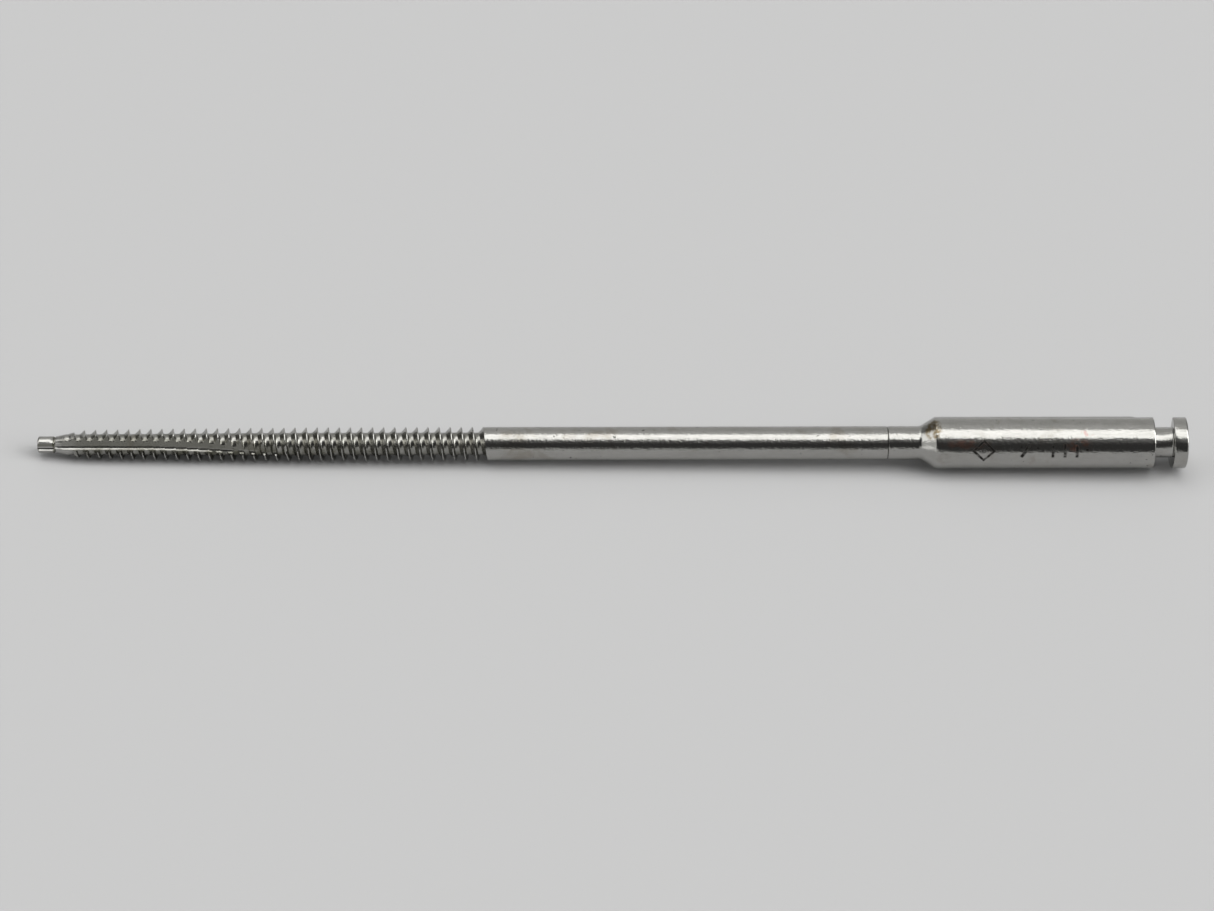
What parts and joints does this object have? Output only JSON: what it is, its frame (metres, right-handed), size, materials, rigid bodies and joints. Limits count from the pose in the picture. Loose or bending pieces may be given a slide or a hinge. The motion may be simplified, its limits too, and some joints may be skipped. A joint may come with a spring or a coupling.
{
  "type": "bone-screw tap with latch shank",
  "caption": "Slim thread-cutting tap with a short pilot, fluted fine thread and plain rod, on a latch-type shank for a right-angle handpiece.",
  "frame": {"origin": "on the tool's axis, at the front edge of the full-width barrel of the latch shank", "axes": "+X along the tool's axis towards the latch end, so the tip points to -X; +Y is the outward normal of the driving flat; +Z completes the frame"},
  "size_m": [0.0518, 0.0024, 0.0024],
  "materials": {
    "ground_steel": "ground, bright, with fine marks round the axis",
    "turned_steel": "turned, bright, with fine marks round the axis"
  },
  "bodies": {
    "root": {"tap_rod": "ground_steel", "latch_shank": "turned_steel"}
  },
  "joints": []
}
